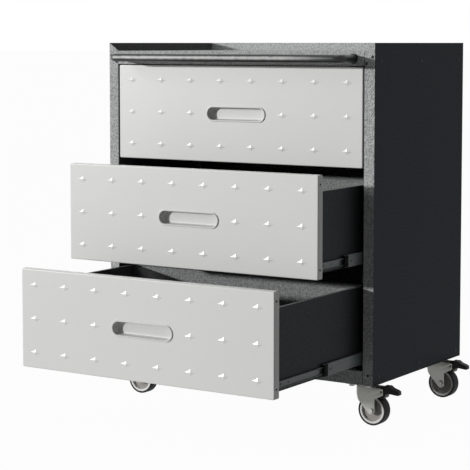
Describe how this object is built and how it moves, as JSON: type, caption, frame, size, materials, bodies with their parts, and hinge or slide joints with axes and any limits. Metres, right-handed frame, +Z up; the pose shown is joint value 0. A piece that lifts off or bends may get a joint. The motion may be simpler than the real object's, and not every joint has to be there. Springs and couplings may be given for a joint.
{
  "type": "rolling tool cabinet",
  "caption": "Rolling steel tool cabinet with embossed drawers on full-extension slides, a top tray, a push handle and braked swivel casters.",
  "frame": {"origin": "on the floor, below the centre of the cabinet's body", "axes": "+Z up, the drawers open towards -Y, +X to the right seen from the front"},
  "size_m": [0.8494, 0.8994, 0.942],
  "materials": {
    "hammered_paint": "grey hammered powder coat",
    "front_paint": "light grey satin powder coat",
    "box_paint": "grey satin powder coat",
    "handle_paint": "black semi-gloss paint",
    "pull_plastic": "light grey moulding",
    "slide_steel": "zinc plate",
    "cage_plastic": "black moulding",
    "screw_steel": "dark zinc plate",
    "caster_steel": "zinc plate",
    "hub_plastic": "grey moulding",
    "tyre_rubber": "black rubber",
    "pedal_plastic": "black moulding"
  },
  "bodies": {
    "cabinet": {"side_panel_left": "hammered_paint", "side_panel_right": "hammered_paint", "back_panel": "hammered_paint", "top_tray": "hammered_paint", "base_pan": "hammered_paint", "caster_stiffeners": "slide_steel", "slide_upright_left": "hammered_paint", "slide_upright_right": "hammered_paint", "push_handle": "handle_paint", "handle_arms": "handle_paint", "body_screws": "screw_steel", "caster_plates": "caster_steel", "caster_kingpins": "caster_steel", "caster_bolts": "caster_steel", "drawer_1_outer_rails": "slide_steel", "drawer_2_outer_rails": "slide_steel", "drawer_3_outer_rails": "slide_steel"},
    "drawer_1": {"drawer_1_front": "front_paint", "drawer_1_pull": "pull_plastic", "drawer_1_box": "box_paint", "drawer_1_front_screws": "screw_steel", "drawer_1_inner_rails": "slide_steel"},
    "drawer_1_slide": {"drawer_1_middle_rails": "slide_steel", "drawer_1_ball_cages": "cage_plastic"},
    "drawer_2": {"drawer_2_front": "front_paint", "drawer_2_pull": "pull_plastic", "drawer_2_box": "box_paint", "drawer_2_front_screws": "screw_steel", "drawer_2_inner_rails": "slide_steel"},
    "drawer_2_slide": {"drawer_2_middle_rails": "slide_steel", "drawer_2_ball_cages": "cage_plastic"},
    "drawer_3": {"drawer_3_front": "front_paint", "drawer_3_pull": "pull_plastic", "drawer_3_box": "box_paint", "drawer_3_front_screws": "screw_steel", "drawer_3_inner_rails": "slide_steel"},
    "drawer_3_slide": {"drawer_3_middle_rails": "slide_steel", "drawer_3_ball_cages": "cage_plastic"},
    "caster_front_left_swivel": {"caster_front_left_fork": "caster_steel", "caster_front_left_axle": "caster_steel"},
    "caster_front_left_wheel": {"caster_front_left_hub": "hub_plastic", "caster_front_left_tyre": "tyre_rubber"},
    "caster_front_left_brake": {"caster_front_left_pedal": "pedal_plastic"},
    "caster_front_right_swivel": {"caster_front_right_fork": "caster_steel", "caster_front_right_axle": "caster_steel"},
    "caster_front_right_wheel": {"caster_front_right_hub": "hub_plastic", "caster_front_right_tyre": "tyre_rubber"},
    "caster_front_right_brake": {"caster_front_right_pedal": "pedal_plastic"},
    "caster_rear_left_swivel": {"caster_rear_left_fork": "caster_steel", "caster_rear_left_axle": "caster_steel"},
    "caster_rear_left_wheel": {"caster_rear_left_hub": "hub_plastic", "caster_rear_left_tyre": "tyre_rubber"},
    "caster_rear_left_brake": {"caster_rear_left_pedal": "pedal_plastic"},
    "caster_rear_right_swivel": {"caster_rear_right_fork": "caster_steel", "caster_rear_right_axle": "caster_steel"},
    "caster_rear_right_wheel": {"caster_rear_right_hub": "hub_plastic", "caster_rear_right_tyre": "tyre_rubber"},
    "caster_rear_right_brake": {"caster_rear_right_pedal": "pedal_plastic"}
  },
  "joints": [
    {"name": "drawer_1_travel", "type": "slide", "parent": "cabinet", "child": "drawer_1", "axis": [0, -1, 0], "range_m": [0, 0.406]},
    {"name": "drawer_1_slide_travel", "type": "slide", "parent": "cabinet", "child": "drawer_1_slide", "axis": [0, -1, 0], "range_m": [0, 0.203]},
    {"name": "drawer_2_travel", "type": "slide", "parent": "cabinet", "child": "drawer_2", "axis": [0, -1, 0], "range_m": [-0.213, 0.193]},
    {"name": "drawer_2_slide_travel", "type": "slide", "parent": "cabinet", "child": "drawer_2_slide", "axis": [0, -1, 0], "range_m": [-0.1065, 0.0965]},
    {"name": "drawer_3_travel", "type": "slide", "parent": "cabinet", "child": "drawer_3", "axis": [0, -1, 0], "range_m": [-0.406, 0]},
    {"name": "drawer_3_slide_travel", "type": "slide", "parent": "cabinet", "child": "drawer_3_slide", "axis": [0, -1, 0], "range_m": [-0.203, 0]},
    {"name": "caster_front_left_turn", "type": "hinge", "parent": "cabinet", "child": "caster_front_left_swivel", "pos_m": [-0.353, -0.195, 0.106], "axis": [0, 0, 1], "continuous": true},
    {"name": "caster_front_left_roll", "type": "hinge", "parent": "caster_front_left_swivel", "child": "caster_front_left_wheel", "pos_m": [-0.329, -0.195, 0.038], "axis": [0, 1, 0], "continuous": true},
    {"name": "caster_front_left_press", "type": "hinge", "parent": "caster_front_left_swivel", "child": "caster_front_left_brake", "pos_m": [-0.301, -0.195, 0.088], "axis": [0, 1, 0], "range_deg": [0, 15]},
    {"name": "caster_front_right_turn", "type": "hinge", "parent": "cabinet", "child": "caster_front_right_swivel", "pos_m": [0.353, -0.195, 0.106], "axis": [0, 0, 1], "continuous": true},
    {"name": "caster_front_right_roll", "type": "hinge", "parent": "caster_front_right_swivel", "child": "caster_front_right_wheel", "pos_m": [0.377, -0.195, 0.038], "axis": [0, 1, 0], "continuous": true},
    {"name": "caster_front_right_press", "type": "hinge", "parent": "caster_front_right_swivel", "child": "caster_front_right_brake", "pos_m": [0.405, -0.195, 0.088], "axis": [0, 1, 0], "range_deg": [0, 15]},
    {"name": "caster_rear_left_turn", "type": "hinge", "parent": "cabinet", "child": "caster_rear_left_swivel", "pos_m": [-0.353, 0.195, 0.106], "axis": [0, 0, 1], "continuous": true},
    {"name": "caster_rear_left_roll", "type": "hinge", "parent": "caster_rear_left_swivel", "child": "caster_rear_left_wheel", "pos_m": [-0.329, 0.195, 0.038], "axis": [0, 1, 0], "continuous": true},
    {"name": "caster_rear_left_press", "type": "hinge", "parent": "caster_rear_left_swivel", "child": "caster_rear_left_brake", "pos_m": [-0.301, 0.195, 0.088], "axis": [0, 1, 0], "range_deg": [0, 15]},
    {"name": "caster_rear_right_turn", "type": "hinge", "parent": "cabinet", "child": "caster_rear_right_swivel", "pos_m": [0.353, 0.195, 0.106], "axis": [0, 0, 1], "continuous": true},
    {"name": "caster_rear_right_roll", "type": "hinge", "parent": "caster_rear_right_swivel", "child": "caster_rear_right_wheel", "pos_m": [0.377, 0.195, 0.038], "axis": [0, 1, 0], "continuous": true},
    {"name": "caster_rear_right_press", "type": "hinge", "parent": "caster_rear_right_swivel", "child": "caster_rear_right_brake", "pos_m": [0.405, 0.195, 0.088], "axis": [0, 1, 0], "range_deg": [0, 15]}
  ],
  "couplings": [
    {"joint": "drawer_1_slide_travel", "follows": "drawer_1_travel", "ratio": 0.5},
    {"joint": "drawer_2_slide_travel", "follows": "drawer_2_travel", "ratio": 0.5},
    {"joint": "drawer_3_slide_travel", "follows": "drawer_3_travel", "ratio": 0.5}
  ]
}
